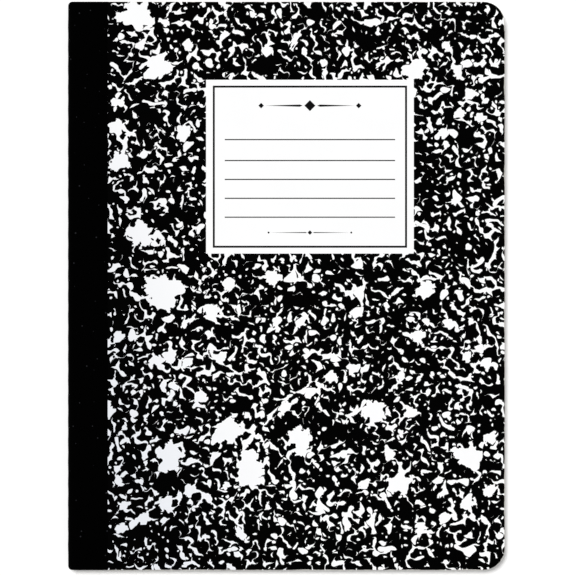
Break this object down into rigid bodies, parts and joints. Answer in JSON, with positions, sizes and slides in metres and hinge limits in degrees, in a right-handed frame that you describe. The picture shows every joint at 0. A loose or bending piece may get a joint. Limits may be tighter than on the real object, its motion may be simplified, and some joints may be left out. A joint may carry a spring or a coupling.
{
  "type": "composition notebook",
  "caption": "Sewn notebook with marbled board covers that open, a black binding tape over the rounded spine and a ruled white label on the front.",
  "frame": {"origin": "middle of the box under the closed notebook, on the surface that it lies on", "axes": "+X from the spine to the fore-edge, +Y from the tail to the head, +Z out of the front cover"},
  "size_m": [0.1906, 0.2476, 0.0115],
  "materials": {
    "leaves": "uncoated writing paper",
    "thread": "twisted cotton",
    "cover_board": "pressed board, matt",
    "binding_tape": "matt coated cloth tape",
    "black_print": "satin black ink",
    "white_print": "satin white paper",
    "grey_print": "dark grey ink"
  },
  "bodies": {
    "book_block": {"pages": "leaves", "sewing_thread": "thread", "spine_board": "cover_board", "spine_tape": "binding_tape"},
    "front_cover": {"front_board": "cover_board", "front_tape": "binding_tape", "front_marbling": "black_print", "front_flecks": "white_print", "front_label": "white_print", "label_frame": "black_print", "label_rules": "grey_print", "label_ornaments": "black_print"},
    "back_cover": {"back_board": "cover_board", "back_tape": "binding_tape", "back_marbling": "black_print", "back_flecks": "white_print"}
  },
  "joints": [
    {"name": "front_cover_hinge", "type": "hinge", "parent": "book_block", "child": "front_cover", "pos_m": [-0.09367, 0, 0.01057], "axis": [0, -1, 0], "range_deg": [0, 180]},
    {"name": "back_cover_hinge", "type": "hinge", "parent": "book_block", "child": "back_cover", "pos_m": [-0.09367, 0, 0.00093], "axis": [0, 1, 0], "range_deg": [0, 180]}
  ]
}
